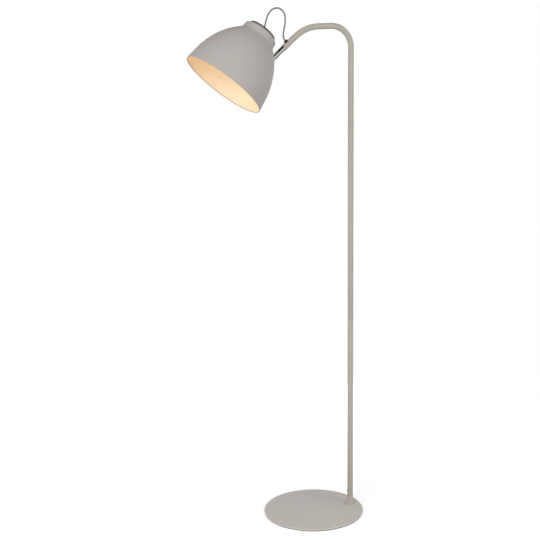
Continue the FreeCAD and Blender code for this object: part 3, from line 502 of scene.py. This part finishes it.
def make_collar():
    """Sleeve round the pole's foot, with a hollow flare from its straight top to its foot."""
    bore, lip, foot, waist, top = 8.65, 9.45, 15.8, 14.0, 26.0
    foot_edge = 1.5
    rise, spread = waist - foot_edge, foot - lip
    radius = (spread ** 2 + rise ** 2) / (2 * spread)
    full = math.asin(rise / radius)
    flare = []
    for k in range(FLARE_STEPS + 1):
        angle = full * (1 - k / FLARE_STEPS)
        flare.append((lip + radius - radius * math.cos(angle), waist - radius * math.sin(angle)))
    outline = [(bore, 0.0), (foot - 0.4, 0.0), (foot - 0.12, 0.12), (foot, 0.4)] + flare
    outline += [(lip, top - 0.3), (lip - 0.09, top - 0.09), (lip - 0.3, top), (bore, top)]
    mesh = lathe("pole_collar_sleeve", outline, at_pole(BASE_TOP), 96, closed=True)
    new_piece("pole_collar_sleeve", mesh, "stand", [TUBE_PAINT_DARKENED], "grey_beige_paint", "pole_collar")


def make_pole(name, node, low, high):
    outline = [(TUBE_BORE, low)] + [(radius, low + d) for radius, d in TUBE_EDGE]
    outline += [(radius, high - d) for radius, d in reversed(TUBE_EDGE)] + [(TUBE_BORE, high)]
    mesh = lathe(name, outline, at_pole(), TUBE_SIDES, closed=True)
    new_piece(name, mesh, "stand", [TUBE_PAINT_DARKENED], "grey_beige_paint", node)


def arm_path():
    """Centreline of the bent tube, sampled along its straight lengths and bends."""
    def travel(turn):
        return Vector((-math.sin(turn), 0, math.cos(turn)))

    def outward(turn):
        return Vector((math.cos(turn), 0, math.sin(turn)))

    point = Vector((POLE_X, 0, UPPER_JOINT * MM))
    path = [point]
    turn = 0.0
    for length, radius, next_turn in ARM_RUNS:
        for k in range(1, STRAIGHT_STEPS + 1):
            path.append(point + travel(turn) * length * k / STRAIGHT_STEPS)
        point = path[-1]
        if radius is None:
            break
        centre = point - outward(turn) * radius
        end = math.radians(next_turn)
        for k in range(1, BEND_STEPS + 1):
            angle = turn + (end - turn) * k / BEND_STEPS
            path.append(centre + outward(angle) * radius)
        point, turn = path[-1], end
    return path


def make_arm():
    """Bent tube with rounded ends and a short length of its bore at each end."""
    path = arm_path()
    first, last = path[0], path[-1]
    up = (path[1] - first).normalized()
    down = (last - path[-2]).normalized()
    line = [first + up * d * MM for d in (4.0, 0.0, 0.0, 0.05, 0.3)]
    line += path[1:-1] + [last - down * d * MM for d in (0.3, 0.06, 0.0, 0.0, 12.0)]
    foot = [TUBE_BORE, TUBE_BORE, 8.2, 8.35, TUBE_RADIUS]
    head = [TUBE_RADIUS, 8.44, 8.2, TUBE_BORE, TUBE_BORE]
    radii = [radius * MM for radius in foot + [TUBE_RADIUS] * (len(path) - 2) + head]
    directions = headings(line)
    directions[:len(foot)] = [up] * len(foot)
    directions[-len(head):] = [down] * len(head)
    mesh = tube("gooseneck_arm", line, directions, radii, TUBE_SIDES, capped=False)
    new_piece("gooseneck_arm", mesh, "stand", [TUBE_PAINT_DARKENED], "grey_beige_paint", "gooseneck_tube")


make_base()
make_collar()
make_pole("lower_pole_tube", "lower_pole", BASE_TOP, LOWER_JOINT)
make_pole("middle_pole_tube", "middle_pole", LOWER_JOINT, UPPER_JOINT)
make_arm()


# ------------------------------------------------------------------ shade

RIM_RADIUS, BEAD_RADIUS, SHADE_WALL = 122.0, 1.2, 1.0
SKIRT_SLOPE = math.radians(7.0)
# each straight length, the radius of the bend after it, the slope after that bend in degrees
# from the shade's axis, and the bend's steps
SHADE_STEPS = ((29.4, 232.2, 30.0, 14), (0.0, 158.7, 41.7, 8), (26.0, 2.5, 6.5, 8),
               (14.4, 3.0, 56.3, 10), (8.4, 2.0, 90.0, 8))
SHEET_STEPS = 3                 # along each straight length
BEAD_SWEEP = math.radians(250)
BEAD_STEPS = 20
NIPPLE_HOLE = 5.2
CAP_THICKNESS, CAP_RADIUS, CAP_HOLE, CAP_ROUND = 4.0, 41.0, 7.2, 0.6


def sheet_inward(slope):
    return Vector((-math.cos(slope), -math.sin(slope)))


def sheet_travel(slope):
    return Vector((-math.sin(slope), math.cos(slope)))


def sheet_outline(inset):
    """Outline of the bent sheet from the rim to its top, moved towards the axis by inset."""
    slope = SKIRT_SLOPE
    point = Vector((RIM_RADIUS, BEAD_RADIUS)) + sheet_inward(slope) * inset
    points = [tuple(point)]
    for length, radius, after, count in SHADE_STEPS:
        after = math.radians(after)
        if length > 0:
            for k in range(1, SHEET_STEPS + 1):
                points.append(tuple(point + sheet_travel(slope) * length * k / SHEET_STEPS))
        point = point + sheet_travel(slope) * length
        side = 1 if after > slope else -1
        arm = radius - side * inset
        centre = point + sheet_inward(slope) * (side * arm)
        for k in range(1, count + 1):
            angle = slope + (after - slope) * k / count
            points.append(tuple(centre - sheet_inward(angle) * (side * arm)))
        point, slope = Vector(points[-1]), after
    return points


SHADE_TOP = sheet_outline(0.0)[-1][1]


def make_shade():
    """Bell shade: the sheet's outside, the rolled rim and the enamelled inside."""
    outer = sheet_outline(0.0)
    inner = sheet_outline(SHADE_WALL)
    centre = Vector((RIM_RADIUS, BEAD_RADIUS)) + sheet_inward(SKIRT_SLOPE) * BEAD_RADIUS
    bead = []
    for k in range(1, BEAD_STEPS):
        angle = SKIRT_SLOPE - BEAD_SWEEP * k / BEAD_STEPS
        bead.append(tuple(centre - sheet_inward(angle) * BEAD_RADIUS))
    bead_end = Vector(inner[0]) + sheet_travel(SKIRT_SLOPE) * 1.18
    outline = [(NIPPLE_HOLE, outer[-1][1])] + list(reversed(outer)) + bead + [tuple(bead_end)]
    outline += inner[1:] + [(NIPPLE_HOLE, inner[-1][1])]
    edge = 1 + len(outer) + len(bead)

    def finish(index):
        return 0 if index < edge else 1

    mesh = lathe("bell_shade", outline, HEAD, 256, closed=True, finish=finish)
    new_piece("bell_shade", mesh, "head", [SHADE_PAINT, ENAMEL_WITH_PAINTED_WARMTH], "shade_paint", "lamp_shade")


def make_cap():
    low, high = SHADE_TOP, SHADE_TOP + CAP_THICKNESS
    corners = [(CAP_HOLE, low), (CAP_RADIUS, low), (CAP_RADIUS, high), (CAP_HOLE, high)]
    outline = rounded(corners, [0, CAP_ROUND, CAP_ROUND, 0])
    mesh = lathe("wood_cap_disc", outline, HEAD, 160, closed=True)
    new_piece("wood_cap_disc", mesh, "head", [WOOD], "dark_wood", "cap_disc")


make_shade()
make_cap()


# ------------------------------------------------------------------ bulb

TOOTH_WASHER, NIPPLE_NUT, HOLDER_CAP = 1.0, 3.5, 16.0
INSERT_DROP, INSERT_HEIGHT, CONTACT_THICKNESS = 4.5, 11.0, 0.5
BULB_CONTACT, BULB_INSULATOR, BULB_THREAD, BULB_COLLAR = 1.0, 2.0, 19.5, 4.0
GLOBE_RADIUS, COLLAR_RADIUS, GLOBE_NECK = 30.0, 14.0, 7.0
GLOBE_TO_NECK = 44.5            # globe's centre to the top of the flare
GLOBE_FLARE_STEPS, GLOBE_STEPS = 14, 40


def make_globe():
    """Globe of the bulb, which hangs from the lampholder; gives its centre."""
    holder_top = SHADE_TOP - SHADE_WALL - TOOTH_WASHER - NIPPLE_NUT
    seam = holder_top - HOLDER_CAP
    tip = seam - INSERT_DROP - INSERT_HEIGHT - CONTACT_THICKNESS
    neck_top = tip - BULB_CONTACT - BULB_INSULATOR - BULB_THREAD - BULB_COLLAR
    flare_top = neck_top - GLOBE_NECK
    middle = flare_top - GLOBE_TO_NECK
    flare = (GLOBE_TO_NECK ** 2 / (GLOBE_RADIUS - COLLAR_RADIUS) - GLOBE_RADIUS - COLLAR_RADIUS) / 2
    centre = Vector((COLLAR_RADIUS + flare, flare_top))
    to_flare = (centre - Vector((0, middle))).normalized()
    meet = math.atan2(to_flare.y, to_flare.x)
    back = math.atan2(-to_flare.y, -to_flare.x) % (2 * math.pi)
    outline = [(COLLAR_RADIUS, neck_top), (COLLAR_RADIUS, flare_top)]
    for k in range(1, GLOBE_FLARE_STEPS + 1):
        angle = math.pi + (back - math.pi) * k / GLOBE_FLARE_STEPS
        outline.append((centre.x + flare * math.cos(angle), centre.y + flare * math.sin(angle)))
    for k in range(1, GLOBE_STEPS):
        angle = meet - (meet + math.pi / 2) * k / GLOBE_STEPS
        outline.append((GLOBE_RADIUS * math.cos(angle), middle + GLOBE_RADIUS * math.sin(angle)))
    outline.append((0.0, middle - GLOBE_RADIUS))
    mesh = lathe("opal_globe", outline, HEAD, 96)
    globe = new_piece("opal_globe", mesh, "head", [OPAL], "opal_glass", "bulb_globe")
    globe.visible_shadow = False
    return HEAD @ Vector((0, 0, middle * MM))


BULB_CENTRE = make_globe()


# ------------------------------------------------------------------ finishes of the other CAD pieces

FINISHES = {
    "base_pad": RUBBER, "mains_inlet_grommet": RUBBER, "arm_grommet": RUBBER,
    "pole_screw": STEEL, "pole_screw_washer": STEEL, "pole_foot_plug": STEEL,
    "lower_coupler_stud": STEEL, "lower_coupler_socket": STEEL,
    "upper_coupler_stud": STEEL, "upper_coupler_socket": STEEL,
    "stem_screw": STEEL, "pivot_spring_washer": STEEL, "lug_nut": STEEL,
    "threaded_nipple": STEEL, "tooth_washer": STEEL, "nipple_nut": STEEL,
    "head_stem": CHROME, "pivot_screw": CHROME, "shade_lug": CHROME,
    "friction_washers": PLASTIC, "lug_saddle_washer": PLASTIC,
    "holder_cap": PLASTIC, "holder_body": PLASTIC,
    "inner_lead": CORD, "holder_lead": CORD, "holder_cores": CORES,
    "socket_insert": CERAMIC, "socket_shell": BRASS, "centre_contact": BRASS, "bulb_contact": BRASS,
    "bulb_cap": ALUMINIUM, "cord_bush": BLACK_METAL,
}
for name, material in FINISHES.items():
    node = nodes[name]
    node.data.materials.clear()
    node.data.materials.append(material)


# ------------------------------------------------------------------ floor, world and lamps

WHITE = (1.0, 1.0, 1.0, 1.0)
LEVELS = {"world": 0.50, "key": 44.5, "left": 31.0, "fill": 48.0, "bulb": 0.235}
SOFT_BOXES = {                  # place, point it faces and size, in metres
    "key": ((-2.2, -2.6, 1.9), (0, 0, 0.8), (1.8, 1.8)),
    "left": ((-3.2, -1.5, 1.8), (0, 0, 0.9), (1.6, 1.8)),
    "fill": ((2.4, -3.0, 1.4), (0, 0, 0.8), (1.6, 2.0)),
}
BULB_COLOUR = (1.0, 0.43, 0.05)
BULB_LIGHT_RADIUS = 0.028
FLOOR_REACH = 1.3               # from the origin to each edge, in metres
FLOOR_DROP = 0.0004             # keeps the floor just below the base pad
FLOOR_COLOUR = (0.62, 0.62, 0.62, 1.0)
FLOOR_FADE = (0.3, 1.1)         # distances over which the floor turns white
FLOOR_LIFT = (0.53, 1.0)        # its own light at those distances
WALL_END, DARK_START = 0.34, 0.46     # slopes of a glossy ray, as its sine
DARK_LEVEL = 0.05


def seen_ray(m):
    """1 for a ray from the camera, off a glossy surface or through glass, else 0."""
    ray = m.add("ShaderNodeLightPath").outputs
    first = m.add("ShaderNodeMath", {0: ray["Is Camera Ray"], 1: ray["Is Glossy Ray"]},
                  operation="MAXIMUM")
    both = m.add("ShaderNodeMath", {0: first.outputs[0], 1: ray["Is Transmission Ray"]},
                 operation="MAXIMUM")
    return both.outputs[0]


def make_floor():
    """Pale floor that fades to the white of the backdrop with distance from the lamp."""
    bm = bmesh.new()
    bmesh.ops.create_grid(bm, x_segments=1, y_segments=1, size=FLOOR_REACH)
    mesh = bpy.data.meshes.new("studio_floor")
    bm.to_mesh(mesh)
    bm.free()
    mesh.transform(Matrix.Translation((0, 0, -FLOOR_DROP)))
    floor = bpy.data.objects.new("studio_floor", mesh)
    bpy.context.scene.collection.objects.link(floor)
    m = Nodes("floor_white")
    output = m.tree.nodes["Material Output"]
    m.tree.nodes.remove(m.shader)
    soft = m.add("ShaderNodeBsdfDiffuse", {"Color": FLOOR_COLOUR})
    far = m.add("ShaderNodeVectorMath", {0: m.place}, operation="LENGTH")
    lift = m.add("ShaderNodeMapRange", {
        "Value": far.outputs["Value"], "From Min": FLOOR_FADE[0], "From Max": FLOOR_FADE[1],
        "To Min": FLOOR_LIFT[0], "To Max": FLOOR_LIFT[1]})
    shown = m.add("ShaderNodeMath", {0: seen_ray(m), 1: lift.outputs["Result"]}, operation="MULTIPLY")
    glow = m.add("ShaderNodeEmission", {"Color": WHITE, "Strength": shown.outputs[0]})
    both = m.add("ShaderNodeAddShader", {0: soft.outputs[0], 1: glow.outputs[0]})
    m.tree.links.new(both.outputs[0], output.inputs["Surface"])
    mesh.materials.append(m.material)


def make_world():
    """White for the camera and plain for light; glossy surfaces see it dark high up and low down."""
    world = bpy.data.worlds.new("studio")
    bpy.context.scene.world = world
    world.use_nodes = True
    tree = world.node_tree
    ray = add_node(tree, "ShaderNodeLightPath").outputs
    direction = add_node(tree, "ShaderNodeTexCoord").outputs["Generated"]
    rise = add_node(tree, "ShaderNodeSeparateXYZ", {0: direction}).outputs["Z"]
    slope = add_node(tree, "ShaderNodeMath", {0: rise}, operation="ABSOLUTE").outputs[0]
    wall = add_node(tree, "ShaderNodeMapRange", {
        "Value": slope, "From Min": WALL_END, "From Max": DARK_START,
        "To Min": 1.0, "To Max": DARK_LEVEL}).outputs["Result"]
    mirrored = add_node(tree, "ShaderNodeMapRange", {
        "Value": ray["Is Glossy Ray"], "To Min": LEVELS["world"], "To Max": wall}).outputs["Result"]
    straight = add_node(tree, "ShaderNodeMath", {
        0: ray["Is Camera Ray"], 1: ray["Is Transmission Ray"]}, operation="MAXIMUM").outputs[0]
    level = add_node(tree, "ShaderNodeMapRange", {
        "Value": straight, "To Min": mirrored, "To Max": 1.0}).outputs["Result"]
    back = tree.nodes["Background"]
    back.inputs["Color"].default_value = WHITE
    tree.links.new(level, back.inputs["Strength"])


def soft_box(name, place, target, size):
    data = bpy.data.lights.new(name, "AREA")
    data.shape = "RECTANGLE"
    data.size, data.size_y = size
    data.energy = LEVELS[name]
    lamp = bpy.data.objects.new(name, data)
    lamp.location = place
    lamp.rotation_euler = (Vector(target) - Vector(place)).to_track_quat("-Z", "Y").to_euler()
    lamp.visible_camera = False
    lamp.visible_glossy = False
    bpy.context.scene.collection.objects.link(lamp)


def make_lamps():
    for name, (place, target, size) in SOFT_BOXES.items():
        soft_box(name, place, target, size)
    data = bpy.data.lights.new("bulb_light", "POINT")
    data.energy = LEVELS["bulb"]
    data.color = BULB_COLOUR
    data.shadow_soft_size = BULB_LIGHT_RADIUS
    bulb = bpy.data.objects.new("bulb_light", data)
    bulb.location = BULB_CENTRE
    bpy.context.scene.collection.objects.link(bulb)
    bulb.parent = frame["bodies"]["head"]


make_floor()
make_world()
make_lamps()
